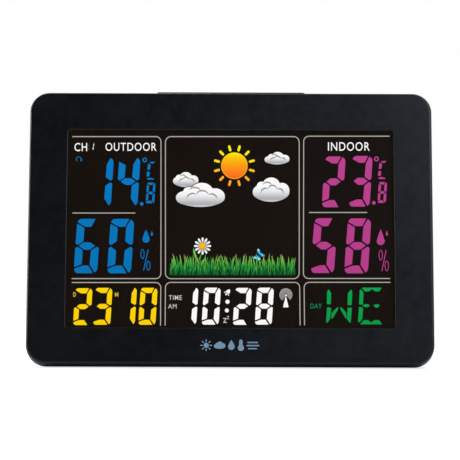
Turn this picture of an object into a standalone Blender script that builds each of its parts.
"""Home weather station: a desk console with a colour display, leaning back on a fold-out foot.

Every size below is in millimetres in the console's own frame: x runs to the viewer's right, y runs
from the front face (y = 0) to the back, and z runs up the face from the bottom edge. The console
hangs on one empty that leans it back, so in the world +Z is up and the flat strip under the rear
cover lies on z = 0. Boxes are given as x0, x1, y0, y1, z0, z1.
"""

import itertools
import math

import bmesh
import bpy
from mathutils import Matrix, Vector

MM = 0.001

# ---------------------------------------------------------------- driving dimensions
WIDTH = 200.0
HEIGHT = 137.0
DEPTH = 25.0
LEAN = math.radians(12.0)  # the strip under the cover is cut at the same angle
CORNER_R = 10.0
CORNER_STEPS = 7
SPLIT_Y = 8.0  # where the bezel ends
GAP = 0.3  # between neighbouring pieces
RIM_Y = SPLIT_Y + GAP  # where the rear cover starts
WALL = 2.0
MID_Z = HEIGHT / 2
PAST_BACK = 26.0  # cuts through the back end here, behind the cover
STRIP_Y = 15.0  # the line of the flat strip that goes to the world's origin

SCREEN_Z = 67.9  # the screen's centre, just over half a millimetre below the case's
LIP = 1.0  # thickness of the lip in front of the window
FRONT_WALL = 2.2

# x, z of the screws; the board screws also place the carrier's posts and the board's holes
HOUSING_SCREWS = [
    (-89.5, 10.0), (89.5, 10.0), (-89.5, 127.0), (89.5, 127.0), (-42.0, 10.0), (42.0, 10.0),
]
SEAT_Y = 15.0  # bottom of the housing screws' wells
BOARD_SCREWS = [(-74, 76), (74, 76), (-6, 118)]

BOARD_Y = (12.3, 13.5)
ON_BOARD_Y = 13.7  # front of the parts that sit on the main board's back
JACK = (66.0, 84.0)  # x, z
BUZZER = (-62.0, 88.0)  # x, z
ROD = (15.3, 63.5)  # y, z of the ferrite rod's axis, which runs along x
SENSOR_X = -81.0  # middle of the sensor board

BATTERY_X = 66.5  # middle of the bay, the cells and the door
BAY = (48.5, 84.5, 12.1, PAST_BACK, 16.0, 66.5)
LEAD_OFFSET = 15.9  # of each battery lead from BATTERY_X
LEAD_Y = 14.2
DOOR_HOLE = (46.6, 86.4, 14.3, 68.6)  # x0, x1, z0, z1
DOOR_PIN = (23.9, 15.4)  # y, z of the door's pin axis, which runs along x

FOOT_HALF = 32.0
FOOT_LEN = 46.0
FOOT_HALF_T = 1.5  # half its thickness
FOOT_HINGE = (23.2, 7.0)  # y, z of the foot's hinge line
FOOT_OPEN = math.radians(80.2)

KEY_Z = 113.0
KEY_X = {
    "mode": -66.0,
    "alarm": -50.0,
    "channel": -34.0,
    "memory": 34.0,
    "down": 50.0,
    "up": 66.0,
}
SNOOZE_HALF = 37.0
SNOOZE_SLOT_HALF = SNOOZE_HALF + 0.4


def cover_inset(y):
    """How far the cover's leaning sides have come in from the case's outline at depth y."""
    return (y - SPLIT_Y - GAP) * math.tan(LEAN)


# ---------------------------------------------------------------- scene and materials
for old in list(bpy.data.objects):
    bpy.data.objects.remove(old)

console = bpy.data.objects.new("console_frame", None)
bpy.context.scene.collection.objects.link(console)
console.matrix_world = Matrix.Rotation(-LEAN, 4, "X") @ Matrix.Translation(
    Vector((0, -STRIP_Y, -cover_inset(STRIP_Y))) * MM
)


def material(name, rgb, roughness, metallic=0.0):
    made = bpy.data.materials.get(name) or bpy.data.materials.new(name)
    made.use_nodes = True
    inputs = made.node_tree.nodes["Principled BSDF"].inputs
    inputs["Base Color"].default_value = (*rgb, 1)
    inputs["Roughness"].default_value = roughness
    inputs["Metallic"].default_value = metallic
    made.diffuse_color = (*rgb, 1)
    return made


BLACK = material("black_abs", rgb=(0.011, 0.012, 0.014), roughness=0.5)
GREY = material("grey_abs", rgb=(0.055, 0.057, 0.06), roughness=0.55)
CLEAR = material("clear_acrylic", rgb=(0.02, 0.018, 0.016), roughness=0.06)
LCD_GLASS = material("lcd_glass", rgb=(0.01, 0.007, 0.005), roughness=0.15)
WHITE = material("white_abs", rgb=(0.78, 0.78, 0.76), roughness=0.5)
LIGHT_GUIDE = material("light_guide", rgb=(0.85, 0.87, 0.88), roughness=0.25)
GREEN = material("pcb_green", rgb=(0.02, 0.14, 0.05), roughness=0.4)
STEEL = material("steel", rgb=(0.55, 0.56, 0.58), roughness=0.3, metallic=1.0)
NICKEL = material("nickel", rgb=(0.66, 0.64, 0.6), roughness=0.25, metallic=1.0)
SWITCH = material("switch_black", rgb=(0.02, 0.02, 0.02), roughness=0.45)
FERRITE = material("ferrite", rgb=(0.045, 0.043, 0.042), roughness=0.6)
COPPER = material("copper", rgb=(0.6, 0.25, 0.12), roughness=0.35, metallic=0.9)
AMBER = material("ribbon_amber", rgb=(0.45, 0.2, 0.04), roughness=0.35)
CELL_JACKET = material("cell_jacket", rgb=(0.06, 0.1, 0.16), roughness=0.3)
RUBBER = material("rubber", rgb=(0.025, 0.025, 0.026), roughness=0.85)
RED_WIRE = material("wire_red", rgb=(0.5, 0.03, 0.03), roughness=0.4)
BLACK_WIRE = material("wire_black", rgb=(0.02, 0.02, 0.02), roughness=0.4)


# ---------------------------------------------------------------- objects and Booleans
SHARP_ANGLE = math.radians(35.0)


def place(obj, parent, origin):
    bpy.context.scene.collection.objects.link(obj)
    obj.parent = parent
    obj.location = Vector(origin) * MM
    return obj


def mesh_object(name, solid, mat, origin=(0, 0, 0), parent=console):
    """Makes an object of a bmesh in the parent's millimetres, with its origin at the given point."""
    bmesh.ops.recalc_face_normals(solid, faces=solid.faces)
    bmesh.ops.translate(solid, verts=solid.verts, vec=-Vector(origin))
    bmesh.ops.scale(solid, verts=solid.verts, vec=(MM, MM, MM))
    mesh = bpy.data.meshes.new(name)
    solid.to_mesh(mesh)
    solid.free()
    if mat:
        mesh.materials.append(mat)
    mesh.shade_smooth()
    mesh.set_sharp_from_angle(angle=SHARP_ANGLE)
    return place(bpy.data.objects.new(name, mesh), parent, origin)


helper_numbers = itertools.count(1)


def boolean(target, solids, operation, prefix):
    """Gives the target one Boolean modifier for each solid, which becomes a hidden helper."""
    for solid in solids:
        name = f"{prefix}_{next(helper_numbers):02d}"
        helper = mesh_object(name, solid, None, parent=target.parent)
        helper.hide_render = True
        helper.display_type = "WIRE"
        modifier = target.modifiers.new(helper.name, "BOOLEAN")
        modifier.operation = operation
        modifier.solver = "EXACT"
        modifier.object = helper


def cut(target, *solids):
    boolean(target, solids, "DIFFERENCE", "cut")


def add(target, *solids):
    boolean(target, solids, "UNION", "add")


# ---------------------------------------------------------------- solids
def rounded_ring(width, height, radius, y, x_mid=0.0, z_mid=MID_Z, steps=CORNER_STEPS):
    """Points round a rounded rectangle in the x-z plane at depth y."""
    points = []
    for k, (side_x, side_z) in enumerate(((1, -1), (1, 1), (-1, 1), (-1, -1))):
        corner_x = x_mid + side_x * (width / 2 - radius)
        corner_z = z_mid + side_z * (height / 2 - radius)
        for i in range(steps + 1):
            angle = math.radians(-90 + 90 * k + 90 * i / steps)
            points.append(
                (corner_x + radius * math.cos(angle), y, corner_z + radius * math.sin(angle))
            )
    return points


def loft(rings, caps=True):
    """Skins rings of equal length one to the next. With caps off, the last joins the first."""
    solid = bmesh.new()
    rows = [[solid.verts.new(point) for point in ring] for ring in rings]
    pairs = list(zip(rows, rows[1:]))
    if not caps:
        pairs.append((rows[-1], rows[0]))
    count = len(rows[0])
    for near, far in pairs:
        for i in range(count):
            j = (i + 1) % count
            solid.faces.new((near[i], near[j], far[j], far[i]))
    if caps:
        solid.faces.new(rows[0])
        solid.faces.new(list(reversed(rows[-1])))
    return solid


def rounded_loft(stations, x_mid, z_mid, steps):
    """A solid through rounded rectangles. Stations are width, height, corner radius, y."""
    return loft([rounded_ring(*station, x_mid, z_mid, steps) for station in stations])


def soft_box(x0, x1, y0, y1, z0, z1, radius, steps):
    """A box with its corners rounded in the x-z plane."""
    stations = [(x1 - x0, z1 - z0, radius, y) for y in (y0, y1)]
    return rounded_loft(stations, (x0 + x1) / 2, (z0 + z1) / 2, steps)


def box(x0, x1, y0, y1, z0, z1):
    solid = bmesh.new()
    centre = Matrix.Translation(((x0 + x1) / 2, (y0 + y1) / 2, (z0 + z1) / 2))
    size = Matrix.Diagonal((x1 - x0, y1 - y0, z1 - z0, 1))
    bmesh.ops.create_cube(solid, size=1, matrix=centre @ size)
    return solid


def turned(profile, axis, centre, sides):
    """A closed round solid.

    The profile holds (place along the axis, radius) from one end to the other. The centre holds
    the axis line's other two coordinates, in x, y, z order.
    """
    rings = []
    for along, radius in profile:
        ring = []
        for i in range(sides):
            angle = 2 * math.pi * (i + 0.5) / sides
            first = radius * math.cos(angle) + centre[0]
            second = radius * math.sin(angle) + centre[1]
            ring.append(
                {
                    "x": (along, first, second),
                    "y": (first, along, second),
                    "z": (first, second, along),
                }[axis]
            )
        rings.append(ring)
    return loft(rings)


def rod(start, end, radius, axis, centre, sides):
    return turned([(start, radius), (end, radius)], axis, centre, sides)


def direction(points, i):
    """The path's direction at point i, taken between its neighbours."""
    return (points[min(i + 1, len(points) - 1)] - points[max(i - 1, 0)]).normalized()


def tube(path, radius, sides):
    """A round wire along a path of points, with flat ends."""
    points = [Vector(point) for point in path]
    rings = []
    across = Vector((0.13, 0.97, 0.2)).normalized()  # a start direction no path runs along
    for i, point in enumerate(points):
        along = direction(points, i)
        across = (across - along * across.dot(along)).normalized()
        other = along.cross(across)
        ring = []
        for k in range(sides):
            angle = 2 * math.pi * k / sides
            offset = across * radius * math.cos(angle)
            ring.append(tuple(point + offset + other * radius * math.sin(angle)))
        rings.append(ring)
    return loft(rings)


# ---------------------------------------------------------------- front bezel
BEZEL_DRAFT = 0.3
FRONT_FILLET = 1.3
OPENING = (161.3, 99.5, 1.3)  # width, height, corner radius
OPENING_BEVEL = 0.4
REBATE = (165.6, 102.8, 1.6)  # width, height, corner radius
BEZEL_POST = [(1.6, 2.8), (9.5, 2.5)]  # y, radius
PRY_NOTCH = (-101.0, -99.25, 0.7, 9.0, 28.0, 29.1)


def case_ring(inset, y):
    """The case's outline at depth y, brought in by inset."""
    return rounded_ring(WIDTH - 2 * inset, HEIGHT - 2 * inset, CORNER_R - inset, y)


def front_bezel():
    def fillet_ring(degrees):
        angle = math.radians(degrees)
        inset = BEZEL_DRAFT + FRONT_FILLET * (1 - math.sin(angle))
        return case_ring(inset, FRONT_FILLET * (1 - math.cos(angle)))

    def screen_ring(width, height, radius, y):
        return rounded_ring(width, height, radius, y, z_mid=SCREEN_Z)

    width, height, radius = OPENING
    bevel = OPENING_BEVEL
    rings = [
        screen_ring(width + 2 * bevel, height + 2 * bevel, radius + bevel, 0.0),
        case_ring(BEZEL_DRAFT + FRONT_FILLET, 0.0),
        fillet_ring(30),
        fillet_ring(60),
        case_ring(BEZEL_DRAFT, FRONT_FILLET),
        case_ring(0.0, SPLIT_Y),
        case_ring(WALL, SPLIT_Y),
        case_ring(WALL + 0.3, FRONT_WALL),
        screen_ring(*REBATE, FRONT_WALL),
        screen_ring(*REBATE, LIP),
        screen_ring(*OPENING, LIP),
        screen_ring(*OPENING, bevel),
    ]
    bezel = mesh_object("front_bezel", loft(rings, caps=False), BLACK)
    for centre in HOUSING_SCREWS:
        add(bezel, turned(BEZEL_POST, "y", centre, sides=14))
        cut(bezel, rod(3.2, 10.5, 1.25, "y", centre, sides=10))
    # half of the slot the top key sits in, and the pry notch in the left side
    cut(
        bezel,
        box(-SNOOZE_SLOT_HALF, SNOOZE_SLOT_HALF, 3.0, 12.0, 130.0, 141.0),
        box(*PRY_NOTCH),
    )


# ---------------------------------------------------------------- window, display and backlight
WINDOW = (165.0, 102.2, 1.3)  # width, height, corner radius
LCD = (166.0, 103.4)  # width, height
LCD_Y = (2.6, 5.2)
GUIDE = (164.0, 100.6)  # width, height
GUIDE_Y = (5.5, 8.5)
GUIDE_RISE = 0.8  # of its centre above the screen's
LED_STRIP = (-62, 62, 5.8, 8.3, 16.0, 16.7)
LED_COUNT = 6
LED_PITCH = 20
LED_HALF = 1.7


def display_window():
    stations = [(*WINDOW, LIP + 0.1), (*WINDOW, FRONT_WALL + 0.1)]
    mesh_object("display_window", rounded_loft(stations, 0.0, SCREEN_Z, steps=3), CLEAR)


def screen_box(size, y_range, rise=0.0):
    """A box about the screen's centre line, with its middle at a rise above the screen's."""
    width, height = size
    z0, z1 = SCREEN_Z - height / 2 + rise, SCREEN_Z + height / 2 + rise
    return box(-width / 2, width / 2, *y_range, z0, z1)


def display_stack():
    mesh_object("lcd_panel", screen_box(LCD, LCD_Y), LCD_GLASS)
    mesh_object("light_guide", screen_box(GUIDE, GUIDE_Y, GUIDE_RISE), LIGHT_GUIDE)


def backlight_led_strip():
    strip = mesh_object("backlight_led_strip", box(*LED_STRIP), WHITE)
    for k in range(LED_COUNT):
        x = LED_PITCH * (k - (LED_COUNT - 1) / 2)
        add(strip, box(x - LED_HALF, x + LED_HALF, 6.1, 8.0, 16.4, 17.7))


# ---------------------------------------------------------------- carrier and ribbon
# Stations are width, height, corner radius, y: from the tray's floor out over its front rim.
CARRIER = [
    (167.4, 104.8, 0.6, 8.8),
    (167.4, 104.8, 0.6, 2.6),
    (172.0, 109.0, 2.0, 2.6),
    (172.0, 109.0, 2.0, 10.0),
]
BOARD_POST = [(9.4, 3.0), (12.0, 2.6)]  # y, radius
ROD_POST_X = 24
RIBBON_NOTCH = (-55, -25, 2.0, 8.0, 119.5, 124.0)
RIBBON_X = (-54, -26)
RIBBON_T = 0.2
# y, z along the ribbon, from the display's top edge over to the back of the main board
RIBBON = [
    (4.0, 120.2), (4.0, 122.6), (4.6, 124.2), (6.4, 125.4), (9.0, 125.6),
    (11.4, 124.9), (12.9, 123.6), (13.8, 122.1), (13.95, 119.5), (13.95, 117.0),
]


def lcd_carrier():
    """The tray that holds the display stack, with posts for the board and the ferrite rod."""
    carrier = mesh_object("lcd_carrier", rounded_loft(CARRIER, 0.0, SCREEN_Z, steps=2), WHITE)
    for centre in BOARD_SCREWS:
        add(carrier, turned(BOARD_POST, "y", centre, sides=12))
        cut(carrier, rod(8.9, 13.0, 0.95, "y", centre, sides=8))
    for x in (-ROD_POST_X, ROD_POST_X):
        add(carrier, box(x - 1.5, x + 1.5, 9.4, 15.0, 57.2, 69.8))
        cut(carrier, rod(x - 3, x + 3, 4.3, "x", ROD, sides=20))
    cut(carrier, box(*RIBBON_NOTCH))


def lcd_ribbon():
    points = [Vector((0, y, z)) for y, z in RIBBON]
    face, other_face = [], []
    for i, point in enumerate(points):
        along = direction(points, i)
        offset = Vector((0, -along.z, along.y)) * RIBBON_T / 2
        face.append(point + offset)
        other_face.append(point - offset)
    outline = face + other_face[::-1]
    ends = [[(x, point.y, point.z) for point in outline] for x in RIBBON_X]
    mesh_object("lcd_ribbon", loft(ends), AMBER)


# ---------------------------------------------------------------- rear cover
SHOULDER_Y = 22.0  # where the leaning sides end and the rounded back edge starts
BAY_WALL = 1.5
BAY_FLOOR = 1.2
DOOR_FRAME = 1.6
SCREW_TUBE = [(9.8, 3.1), (24.0, 4.0)]  # y, radius
DOOR_TAB_NOTCH_HALF = 12.3
DOOR_PIN_HOLE_HALF = 14.1
DOOR_SCOOP = [(22.6, 2.2), (PAST_BACK, 5.6)]  # y, radius
FOOT_FRAME = (-FOOT_HALF - 2.2, FOOT_HALF + 2.2, 19.2, 24.2, 4.0, 57.6)
FOOT_RECESS = (-FOOT_HALF - 0.4, FOOT_HALF + 0.4, 21.1, PAST_BACK + 1.0, 4.6, 54.4)
FOOT_SCOOP = [(21.5, 3.6), (PAST_BACK, 8.0)]  # y, radius
FOOT_SCOOP_Z = 54.0
KEYHOLE_Z = 106.0
KEYHOLE_FRAME = (-7.2, 7.2, 19.4, 24.2, 100.0, 120.4)
KEYHOLE_POCKET = (-5.9, 5.9, 20.7, 23.2, 101.3, 119.1)
KEY_HOLE_HALF = (5.3, 2.8)  # x, z
SENSOR_RIB_OFFSET = 8.4
SENSOR_GROOVE_HALF = 8.2
AIR_SLOT_X = (-88.0, -58.0)
AIR_SLOT_Z = 20.0  # bottom of the lowest slot
AIR_SLOT_HEIGHT = 1.8
AIR_SLOT_PITCH = 4.4
SOUND_RING_R = 3
JACK_DISH = [(24.4, 5.4), (PAST_BACK, 7.0)]  # y, radius


def cover_shell():
    shoulder = cover_inset(SHOULDER_Y)
    edge_radius = (DEPTH - SHOULDER_Y) / (1 - math.sin(LEAN))
    floor_y = DEPTH - WALL
    tongue_y = SPLIT_Y - 1.6
    # inset, y: from the back's inner face, round the tongue that steps inside the bezel
    stations = [
        (shoulder + 5.2, floor_y),
        (shoulder + 2.6, floor_y - 1.2),
        (cover_inset(19.0) + WALL + 0.1, 19.0),
        (WALL + 1.5, RIM_Y + 0.8),
        (WALL + 1.5, tongue_y),
        (WALL + 0.4, tongue_y),
        (WALL + 0.3, RIM_Y),
        # outer side
        (0.0, RIM_Y),
        (shoulder, SHOULDER_Y),
    ]
    for degrees in (30, 48, 68, 90):
        angle = math.radians(degrees)
        inset = shoulder + edge_radius * (math.cos(LEAN) - math.cos(angle))
        stations.append((inset, SHOULDER_Y + edge_radius * (math.sin(angle) - math.sin(LEAN))))
    rings = [case_ring(inset, y) for inset, y in stations]
    return mesh_object("rear_cover", loft(rings), BLACK)


def cover_blocks(cover):
    """Solid blocks for the bay, the door, the foot, the keyhole and the screws to be cut into."""
    x0, x1, floor_y, _, z0, z1 = BAY
    wall = BAY_WALL
    add(cover, box(x0 - wall, x1 + wall, floor_y - BAY_FLOOR, 24.0, z0 - wall, z1 + wall))
    x0, x1, z0, z1 = DOOR_HOLE
    wall = DOOR_FRAME
    add(
        cover,
        box(x0 - wall, x1 + wall, 21.0, 24.1, z0 - wall, z1 + wall),
        box(*FOOT_FRAME),
        box(*KEYHOLE_FRAME),
    )
    for centre in HOUSING_SCREWS:
        add(cover, turned(SCREW_TUBE, "y", centre, sides=14))


def cut_battery_bay(cover):
    x0, x1, z0, z1 = DOOR_HOLE
    notch, pin = DOOR_TAB_NOTCH_HALF, DOOR_PIN_HOLE_HALF
    cut(
        cover,
        box(*BAY),
        soft_box(x0, x1, 23.0, PAST_BACK, z0, z1, radius=1.5, steps=2),
        # notch and pin holes for the door's hinge tab
        box(BATTERY_X - notch, BATTERY_X + notch, 21.9, PAST_BACK, 13.2, 17.0),
        rod(BATTERY_X - pin, BATTERY_X + pin, 0.95, "x", DOOR_PIN, sides=12),
        # finger scoop at the door's top edge
        turned(DOOR_SCOOP, "y", (BATTERY_X, 69.4), sides=16),
    )


def cut_foot_recess(cover):
    """The recess is open at the lower back edge, with a finger scoop at its top."""
    pin = FOOT_HALF + 1.8
    cut(
        cover,
        soft_box(*FOOT_RECESS, radius=1.2, steps=2),
        rod(-pin, pin, 1.35, "x", FOOT_HINGE, sides=14),
        turned(FOOT_SCOOP, "y", (0, FOOT_SCOOP_Z), sides=20),
    )


def cut_keyhole(cover):
    """A keyhole for a wall screw."""
    slot_z = (KEYHOLE_Z - 1, KEYHOLE_Z + 9.0)
    cut(
        cover,
        box(*KEYHOLE_POCKET),
        rod(22.0, PAST_BACK, 4.2, "y", (0, KEYHOLE_Z), sides=18),
        soft_box(-2.1, 2.1, 22.0, PAST_BACK, *slot_z, radius=2.0, steps=3),
    )


def cut_screws_and_keys(cover):
    for centre in HOUSING_SCREWS:
        cut(
            cover,
            rod(SEAT_Y, PAST_BACK, 2.75, "y", centre, sides=14),
            rod(9.0, SEAT_Y + 1, 1.3, "y", centre, sides=10),
        )
    half_x, half_z = KEY_HOLE_HALF
    z0, z1 = KEY_Z - half_z, KEY_Z + half_z
    for x in KEY_X.values():
        cut(
            cover,
            soft_box(x - half_x, x + half_x, 21.0, PAST_BACK, z0, z1, radius=1.6, steps=2),
        )
    # the other half of the top key's slot
    cut(cover, box(-SNOOZE_SLOT_HALF, SNOOZE_SLOT_HALF, 5.0, 14.1, 128.0, 141.0))


def sensor_ribs(cover):
    for x in (SENSOR_X - SENSOR_RIB_OFFSET, SENSOR_X + SENSOR_RIB_OFFSET):
        add(cover, box(x - 1.0, x + 1.0, 13.8, 23.6, 21.0, 39.0))
    half = SENSOR_GROOVE_HALF
    cut(cover, box(SENSOR_X - half, SENSOR_X + half, 15.1, 16.6, 20.0, 40.0))


def cut_vents_and_wire_holes(cover):
    for k in range(6):
        z = AIR_SLOT_Z + AIR_SLOT_PITCH * k
        extents = (*AIR_SLOT_X, 22.4, PAST_BACK, z, z + AIR_SLOT_HEIGHT)
        cut(cover, soft_box(*extents, radius=0.85, steps=2))
    # sound holes: a ring of six, then the middle one
    sound_holes = []
    for k in range(6):
        angle = math.radians(60 * k)
        x = BUZZER[0] + SOUND_RING_R * math.cos(angle)
        sound_holes.append((x, BUZZER[1] + SOUND_RING_R * math.sin(angle)))
    for centre in (*sound_holes, BUZZER):
        cut(cover, rod(21.0, PAST_BACK, 0.8, "y", centre, sides=8))
    cut(
        cover,
        rod(21.0, PAST_BACK, 4.3, "y", JACK, sides=18),
        turned(JACK_DISH, "y", JACK, sides=18),
    )
    # holes for the battery leads in the bay's top wall
    for x in (BATTERY_X - LEAD_OFFSET, BATTERY_X + LEAD_OFFSET):
        cut(cover, rod(65.5, 72.0, 1.5, "z", (x, LEAD_Y), sides=8))


def rear_cover():
    cover = cover_shell()
    cover_blocks(cover)
    cut_battery_bay(cover)
    cut_foot_recess(cover)
    cut_keyhole(cover)
    cut_screws_and_keys(cover)
    sensor_ribs(cover)
    cut_vents_and_wire_holes(cover)


# ---------------------------------------------------------------- boards and their parts
SENSOR_BOARD = (SENSOR_X - 7.9, SENSOR_X + 7.9, 15.4, 16.3, 21.5, 38.5)
SENSOR_PARTS = [
    (-83.5, -79.5, 16.0, 17.9, 26.0, 31.0),
    (-78.0, -76.0, 16.0, 17.1, 26.0, 28.6),
]
MAIN_BOARD = (-80.0, 80.0, *BOARD_Y, 71.0, 122.0)
RECEIVER_BOARD = (18.0, 44.0, 15.6, 16.6, 76.0, 88.0)
RECEIVER_PARTS = [
    (20.0, 40.0, ON_BOARD_Y, 16.0, 76.6, 78.8),
    (22.0, 27.5, 16.2, 17.9, 81.0, 86.0),
    (31.0, 35.0, 16.2, 17.6, 81.5, 85.5),
]
CHIP = [(ON_BOARD_Y, 8.0), (14.4, 7.6), (15.1, 6.2), (15.6, 4.0), (15.8, 1.6)]  # y, radius
# width, height, corner radius, y
CRYSTAL = [
    (10.5, 4.1, 1.95, ON_BOARD_Y),
    (11.0, 4.6, 2.2, 13.95),
    (11.0, 4.6, 2.2, 16.95),
    (10.5, 4.1, 1.95, 17.2),
]
BUZZER_CAN = [(ON_BOARD_Y, 6.0), (18.6, 6.0), (19.0, 5.6)]  # y, radius
JACK_HALF = 4.5
JACK_PIN = [(15.5, 0.85), (23.2, 0.85), (23.6, 0.5)]  # y, radius
ANTENNA_START = (26.0, 17.2, 92.6)  # start of the coil's axis, which runs along x
ANTENNA_R = 2.0
ANTENNA_PITCH = 1.9
ANTENNA_TURNS = 6
ANTENNA_STEPS = 9  # per turn
FERRITE_ROD = [(-29, 3.6), (-28.6, 4.0), (28.6, 4.0), (29, 3.6)]  # x, radius
CLOCK_COIL = [  # x, radius
    (-11, 5.2), (-10, 5.2), (-9.9, 4.8), (9.9, 4.8), (10, 5.2), (11, 5.2),
]


def board_with_parts(name, board_box, part_boxes):
    board = mesh_object(name, box(*board_box), GREEN)
    add(board, *[box(*extents) for extents in part_boxes])


def main_pcb():
    board = mesh_object("main_pcb", box(*MAIN_BOARD), GREEN)
    for centre in BOARD_SCREWS:
        cut(board, rod(11.8, 14.0, 1.25, "y", centre, sides=10))


def small_board_parts():
    mesh_object("controller_chip", turned(CHIP, "y", (-14, 95), sides=20), SWITCH)
    mesh_object("clock_crystal", rounded_loft(CRYSTAL, 9.5, 82.3, steps=4), STEEL)
    buzzer = mesh_object("piezo_buzzer", turned(BUZZER_CAN, "y", BUZZER, sides=24), SWITCH)
    cut(buzzer, rod(17.4, 20.0, 1.0, "y", BUZZER, sides=10))


def dc_jack():
    x, z = JACK
    half = JACK_HALF
    body = box(x - half, x + half, ON_BOARD_Y, 21.8, z - half, z + half)
    jack = mesh_object("dc_jack", body, SWITCH)
    # round barrel, its bore and the centre pin
    add(jack, rod(20.0, 24.3, 3.9, "y", JACK, sides=20))
    cut(jack, rod(16.5, 25.0, 2.75, "y", JACK, sides=16))
    add(jack, turned(JACK_PIN, "y", JACK, sides=10))


def rf_antenna_coil():
    x, y, z = ANTENNA_START
    points = []
    for i in range(ANTENNA_TURNS * ANTENNA_STEPS + 1):
        angle = 2 * math.pi * i / ANTENNA_STEPS
        points.append(
            (
                x + ANTENNA_PITCH * i / ANTENNA_STEPS,
                y + ANTENNA_R * math.cos(angle),
                z + ANTENNA_R * math.sin(angle),
            )
        )
    mesh_object("rf_antenna_coil", tube(points, radius=0.42, sides=5), COPPER)


def clock_aerial():
    mesh_object("clock_ferrite_rod", turned(FERRITE_ROD, "x", ROD, sides=20), FERRITE)
    coil = mesh_object("clock_coil", turned(CLOCK_COIL, "x", ROD, sides=20), COPPER)
    cut(coil, rod(-12, 12, 4.25, "x", ROD, sides=20))


# ---------------------------------------------------------------- screws
# seat is the y where the head bears
HOUSING_SCREW = {
    "seat": SEAT_Y + 0.15, "length": 10.5, "head_r": 2.3, "shank_r": 1.05, "head_height": 1.5,
}
BOARD_SCREW = {
    "seat": BOARD_Y[1] + 0.15, "length": 4.4, "head_r": 1.9, "shank_r": 0.78, "head_height": 1.2,
}


def screw(name, x, z, seat, length, head_r, shank_r, head_height):
    """A pan-head cross-recess screw, driven towards the front."""
    profile = [
        (seat - length, 0.25),
        (seat - length + 1.0, shank_r),
        (seat, shank_r),
        (seat + 0.02, head_r),
        (seat + head_height * 0.55, head_r * 0.97),
        (seat + head_height, head_r * 0.62),
    ]
    obj = mesh_object(name, turned(profile, "y", (x, z), sides=12), STEEL)
    arm = head_r * 0.16  # half the width of the cross's arms
    reach = head_r * 0.55
    cross = [
        (-arm, -reach), (arm, -reach), (arm, -arm), (reach, -arm), (reach, arm), (arm, arm),
        (arm, reach), (-arm, reach), (-arm, arm), (-reach, arm), (-reach, -arm), (-arm, -arm),
    ]
    depths = (seat + head_height * 0.3, seat + head_height + 0.4)
    cut(obj, loft([[(x + dx, y, z + dz) for dx, dz in cross] for y in depths]))


def screws(prefix, centres, sizes):
    for k, (x, z) in enumerate(centres):
        screw(f"{prefix}_{k + 1}", x, z, **sizes)


# ---------------------------------------------------------------- rear keys and their switches
# width, height, corner radius, y: stem, flange, then the cap with its softened back edge
REAR_KEY = [
    (3.0, 2.6, 0.6, 18.4),
    (3.2, 2.8, 0.6, 21.6),
    (12.8, 7.8, 1.6, 21.6),
    (12.8, 7.8, 1.6, 22.6),
    (10.0, 5.0, 1.5, 22.6),
    (10.0, 5.0, 1.5, 25.6),
    (9.3, 4.3, 1.2, 26.1),
    (7.6, 2.8, 0.8, 26.3),
]
SWITCH_Y = 13.65  # front of the switch bodies
REAR_SWITCH_HALF = 3.0


def rear_key(name, x):
    origin = (x, 24.0, KEY_Z)
    centre = (x, KEY_Z)
    half = REAR_SWITCH_HALF
    mesh_object(f"{name}_key", rounded_loft(REAR_KEY, x, KEY_Z, steps=2), BLACK, origin)
    body = box(x - half, x + half, SWITCH_Y, 16.9, KEY_Z - half, KEY_Z + half)
    switch = mesh_object(f"{name}_switch", body, SWITCH, origin)
    cut(switch, rod(15.2, 18.0, 2.0, "y", centre, sides=12))
    plunger = rod(15.85, 18.2, 1.75, "y", centre, sides=12)
    mesh_object(f"{name}_switch_plunger", plunger, GREY, origin)


# ---------------------------------------------------------------- top key and its switch
SNOOZE_ORIGIN = (0, 8.5, HEIGHT - 2.0)
SNOOZE_CROWN = 1.15  # its highest line above the case
# y, and z from the case's top, round the bar's section
SNOOZE_SECTION = [
    (3.4, -4.6), (3.4, 0.35), (3.8, 0.9), (4.9, 1.15), (8.6, 1.0),
    (12.2, 0.3), (13.2, -0.35), (13.7, -1.3), (13.7, -4.6),
]
# distance in from each end, and how far the crown is lowered there
SNOOZE_ENDS = [(0.0, 1.3), (0.5, 0.55), (1.2, 0.22), (7.0, 0.12), (20.0, 0.03)]
SNOOZE_FLANGE_HALF = SNOOZE_HALF + 1.6
SNOOZE_SWITCH = (-3.2, 3.2, SWITCH_Y, 17.3, 117.6, 122.3)
SNOOZE_SWITCH_AXIS = (0, 15.5)  # x, y


def snooze_section(x, drop):
    limit = HEIGHT + SNOOZE_CROWN - drop
    return [(x, y, min(HEIGHT + rise, limit)) for y, rise in SNOOZE_SECTION]


def snooze_key():
    """The long bar in the top edge. It is held by a flange under the shells' top walls."""
    rings = [snooze_section(inward - SNOOZE_HALF, drop) for inward, drop in SNOOZE_ENDS]
    rings += [snooze_section(SNOOZE_HALF - inward, drop) for inward, drop in SNOOZE_ENDS[::-1]]
    key = mesh_object("snooze_light_key", loft(rings), BLACK, SNOOZE_ORIGIN)
    flange = (-SNOOZE_FLANGE_HALF, SNOOZE_FLANGE_HALF, 2.7, 15.0, HEIGHT - 5.3, HEIGHT - 4.2)
    presser = (-2.2, 2.2, 13.0, 17.0, 124.55, HEIGHT - 4.8)
    add(key, box(*flange), box(*presser))


def snooze_switch():
    switch = mesh_object("snooze_switch", box(*SNOOZE_SWITCH), SWITCH, SNOOZE_ORIGIN)
    # round recess for the plunger, in the top face
    cut(switch, rod(120.2, 123.0, 1.55, "z", SNOOZE_SWITCH_AXIS, sides=12))
    plunger = rod(121.0, 124.3, 1.3, "z", SNOOZE_SWITCH_AXIS, sides=12)
    mesh_object("snooze_switch_plunger", plunger, GREY, SNOOZE_ORIGIN)


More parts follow.
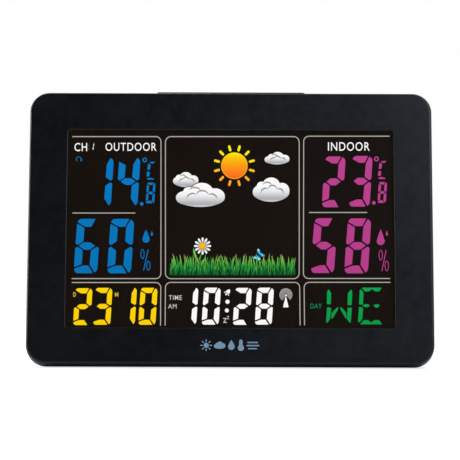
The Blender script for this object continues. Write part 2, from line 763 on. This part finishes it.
# ---------------------------------------------------------------- batteries and contacts
CELL_PITCH = 11.9
CELL_X = (BATTERY_X - CELL_PITCH, BATTERY_X, BATTERY_X + CELL_PITCH)
CELL_Y = 17.6
CELL_R = 5.2
CELL_LEN = 44.5
# distance from the flat end, radius
CELL_PROFILE = [
    (0.0, 4.2), (0.3, CELL_R), (CELL_LEN - 1.4, CELL_R),
    (CELL_LEN - 1.1, 4.4), (CELL_LEN - 1.1, 1.9), (CELL_LEN, 1.7),
]
PLATE_HALF = 4.6
PLATE_Y = (12.6, 22.4)
LOWER_PLATE_Z = (16.2, 16.7)
UPPER_PLATE_Z = (65.8, 66.3)
LOWER_SPRING_Z = (16.62, 19.0)  # from its plate to its tip
UPPER_SPRING_Z = (65.88, 63.4)
LOWER_STUD = [(16.5, 2.4), (17.9, 1.6)]  # z, radius
UPPER_STUD = [(64.6, 1.6), (66.0, 2.4)]
SPRING_R = (3.6, 2.2)  # at the plate and at the tip
SPRING_TURNS = 3.4
SPRING_STEPS = 9  # per turn


def battery_cell(number, x, tip_up):
    if tip_up:
        profile = [(19.6 + along, radius) for along, radius in CELL_PROFILE]
    else:
        top = 18.2 + CELL_LEN
        profile = [(top - along, radius) for along, radius in reversed(CELL_PROFILE)]
    solid = turned(profile, "z", (x, CELL_Y), sides=20)
    mesh_object(f"battery_cell_{number}", solid, CELL_JACKET)


def spring(x, z_range):
    z0, z1 = z_range
    plate_r, tip_r = SPRING_R
    points = []
    count = int(SPRING_TURNS * SPRING_STEPS)
    for i in range(count + 1):
        part = i / count
        angle = 2 * math.pi * SPRING_TURNS * part
        radius = plate_r + (tip_r - plate_r) * part
        points.append(
            (
                x + radius * math.cos(angle),
                CELL_Y + radius * math.sin(angle),
                z0 + (z1 - z0) * part,
            )
        )
    return tube(points, radius=0.32, sides=5)


def stud(x, profile):
    return turned(profile, "z", (x, CELL_Y), sides=12)


def contact(name, x_first, x_last, plate_z, *features):
    plate = box(x_first - PLATE_HALF, x_last + PLATE_HALF, *PLATE_Y, *plate_z)
    add(mesh_object(name, plate, NICKEL), *features)


def batteries():
    for k, (x, tip_up) in enumerate(zip(CELL_X, (True, False, True))):
        battery_cell(k + 1, x, tip_up)
    x1, x2, x3 = CELL_X
    low, high = LOWER_PLATE_Z, UPPER_PLATE_Z
    contact("negative_contact", x1, x1, low, spring(x1, LOWER_SPRING_Z))
    contact(
        "bridge_contact_lower", x2, x3, low, stud(x2, LOWER_STUD), spring(x3, LOWER_SPRING_Z)
    )
    contact(
        "bridge_contact_upper", x1, x2, high, stud(x1, UPPER_STUD), spring(x2, UPPER_SPRING_Z)
    )
    contact("positive_contact", x3, x3, high, stud(x3, UPPER_STUD))


# ---------------------------------------------------------------- battery door and leads
DOOR_Y = (23.3, 24.9)
DOOR_GAP = 0.35
DOOR_BEVEL = 0.3
DOOR_TAB_HALF = 11.9
DOOR_PIN_HALF = 13.5
LATCH_SLIT_OFFSET = 6.5
LATCH_LIP_HALF = 4.9
LATCH_GROOVE_HALF = 5.3
RED_LEAD = [
    (BATTERY_X + LEAD_OFFSET, LEAD_Y, 66.5), (BATTERY_X + LEAD_OFFSET, LEAD_Y, 69.0),
    (82.4, 14.8, 72.0), (80.8, 15.6, 73.8), (78.4, 15.4, 75.4), (77.6, 14.35, 76.8),
]
BLACK_LEAD = [
    (BATTERY_X - LEAD_OFFSET, LEAD_Y, 66.5), (BATTERY_X - LEAD_OFFSET, LEAD_Y, 69.0),
    (50.6, 14.8, 72.0), (51.4, 15.6, 74.0), (52.4, 15.4, 75.8), (52.6, 14.35, 77.4),
]


def door_box(half, *extents, x_mid=BATTERY_X):
    return box(x_mid - half, x_mid + half, *extents)


def door_rod(half, radius):
    return rod(BATTERY_X - half, BATTERY_X + half, radius, "x", DOOR_PIN, sides=12)


def battery_door():
    x0, x1, _, hole_top = DOOR_HOLE
    low, high = DOOR_PIN[1] + 0.3, hole_top - DOOR_GAP
    width, height = x1 - x0 - 2 * DOOR_GAP, high - low
    front, back = DOOR_Y
    bevel = DOOR_BEVEL
    stations = [
        (width, height, 1.2, front),
        (width, height, 1.2, back - bevel),
        (width - 2 * bevel, height - 2 * bevel, 1.2 - bevel, back),
    ]
    solid = rounded_loft(stations, BATTERY_X, (low + high) / 2, steps=2)
    door = mesh_object("battery_door", solid, BLACK, (BATTERY_X, *DOOR_PIN))
    # hinge tab with its round edge and two pins
    add(
        door,
        door_box(DOOR_TAB_HALF, 23.2, 24.6, 15.0, 17.4),
        door_rod(DOOR_TAB_HALF, 1.0),
        door_rod(DOOR_PIN_HALF, 0.7),
    )
    # spring latch: a tongue between two slits, with a nail lip and grooves
    for x in (BATTERY_X - LATCH_SLIT_OFFSET, BATTERY_X + LATCH_SLIT_OFFSET):
        cut(door, door_box(0.4, 22.0, PAST_BACK, 57.5, 70.0, x_mid=x))
    add(door, door_box(LATCH_LIP_HALF, 24.2, 25.5, 66.2, 67.6))
    for k in range(4):
        z = 58.6 + 1.9 * k
        cut(door, door_box(LATCH_GROOVE_HALF, 24.55, PAST_BACK, z, z + 0.8))


def battery_leads():
    mesh_object("battery_lead_red", tube(RED_LEAD, radius=0.6, sides=6), RED_WIRE)
    mesh_object("battery_lead_black", tube(BLACK_LEAD, radius=0.6, sides=6), BLACK_WIRE)


# ---------------------------------------------------------------- fold-out foot
# The foot is modelled shut, pointing up, in the frame of its hinge line, which opens it.
# distance in from each side, and how far the free end is pulled back there
FOOT_SIDES = [(0.0, 3.0), (0.9, 0.9), (3.0, 0.0)]
FOOT_PIN_HALF = FOOT_HALF + 1.4
POCKET_PITCH = 14.75
POCKET_WIDTH = 13.0
RUBBER_SEAT_HALF = 24.4
# x, and how far the rubber's face stays short of the table
RUBBER_STATIONS = [(-24.1, 0.25), (-23.8, 0.0), (23.8, 0.0), (24.1, 0.25)]


def foot_hinge_line():
    hinge = place(
        bpy.data.objects.new("foot_hinge_line", None), console, (0, *FOOT_HINGE)
    )
    hinge.rotation_euler = (-FOOT_OPEN, 0, 0)
    return hinge


def foldout_foot(hinge):
    t = FOOT_HALF_T
    # side outline, y then z: the round hinge end, then the free end
    outline = [(-t, 0.0)]
    for degrees in range(205, 331, 25):
        angle = math.radians(degrees)
        outline.append((t * math.cos(angle), t * math.sin(angle)))
    outline += [
        (t, 0.0), (t, FOOT_LEN - 1.2), (t - 0.8, FOOT_LEN),
        (-t + 1.2, FOOT_LEN), (-t, FOOT_LEN - 1.4),
    ]

    def row(x, pull):
        return [(x, y, min(z, FOOT_LEN - pull)) for y, z in outline]

    rings = [row(inward - FOOT_HALF, pull) for inward, pull in FOOT_SIDES]
    rings += [row(FOOT_HALF - inward, pull) for inward, pull in FOOT_SIDES[::-1]]
    foot = mesh_object("foldout_foot", loft(rings), BLACK, parent=hinge)
    add(foot, rod(-FOOT_PIN_HALF, FOOT_PIN_HALF, 1.1, "x", (0, 0), sides=12))
    # lightening pockets between ribs, on the side that faces the cover when shut
    for k in range(4):
        x = -FOOT_HALF + 3.0 + k * POCKET_PITCH
        cut(foot, box(x, x + POCKET_WIDTH, -4.0, -0.1, 4.2, FOOT_LEN - 9.5))
    # seat for the rubber strip
    seat = (t - 0.5, t + 2.0, FOOT_LEN - 7.6, FOOT_LEN - 2.2)
    cut(foot, box(-RUBBER_SEAT_HALF, RUBBER_SEAT_HALF, *seat))


def foot_rubber_strip(hinge):
    """The strip's face lies on the table when the foot is open."""
    hinge_y, hinge_z = FOOT_HINGE
    hinge_world = console.matrix_world @ Vector((0, hinge_y * MM, hinge_z * MM))
    turn = console.matrix_world.to_3x3() @ Matrix.Rotation(-FOOT_OPEN, 3, "X")

    def table_y(z):
        """The y at which a point (0, y, z) of the foot's frame meets world height 0."""
        return -(hinge_world.z / MM + turn[2][2] * z) / turn[2][1]

    root_y = FOOT_HALF_T - 0.35
    z0, z1 = FOOT_LEN - 7.3, FOOT_LEN - 2.5
    rings = []
    for x, short in RUBBER_STATIONS:
        rings.append(
            [
                (x, root_y, z0),
                (x, table_y(z0) - 0.25, z0),
                (x, table_y(z0 + 0.3) - short, z0 + 0.3),
                (x, table_y(z1 - 0.3) - short, z1 - 0.3),
                (x, table_y(z1) - 0.25, z1),
                (x, root_y, z1),
            ]
        )
    mesh_object("foot_rubber_strip", loft(rings), RUBBER, parent=hinge)


# ---------------------------------------------------------------- build
# The helpers are numbered in this order.
front_bezel()
display_window()
display_stack()
backlight_led_strip()
lcd_carrier()
lcd_ribbon()
rear_cover()
board_with_parts("sensor_board", SENSOR_BOARD, SENSOR_PARTS)
main_pcb()
small_board_parts()
dc_jack()
board_with_parts("rf_receiver_board", RECEIVER_BOARD, RECEIVER_PARTS)
rf_antenna_coil()
clock_aerial()
screws("housing_screw", HOUSING_SCREWS, HOUSING_SCREW)
screws("board_screw", BOARD_SCREWS, BOARD_SCREW)
for key_name, key_x in KEY_X.items():
    rear_key(key_name, key_x)
snooze_key()
snooze_switch()
batteries()
battery_door()
battery_leads()
foot_hinge = foot_hinge_line()
foldout_foot(foot_hinge)
foot_rubber_strip(foot_hinge)
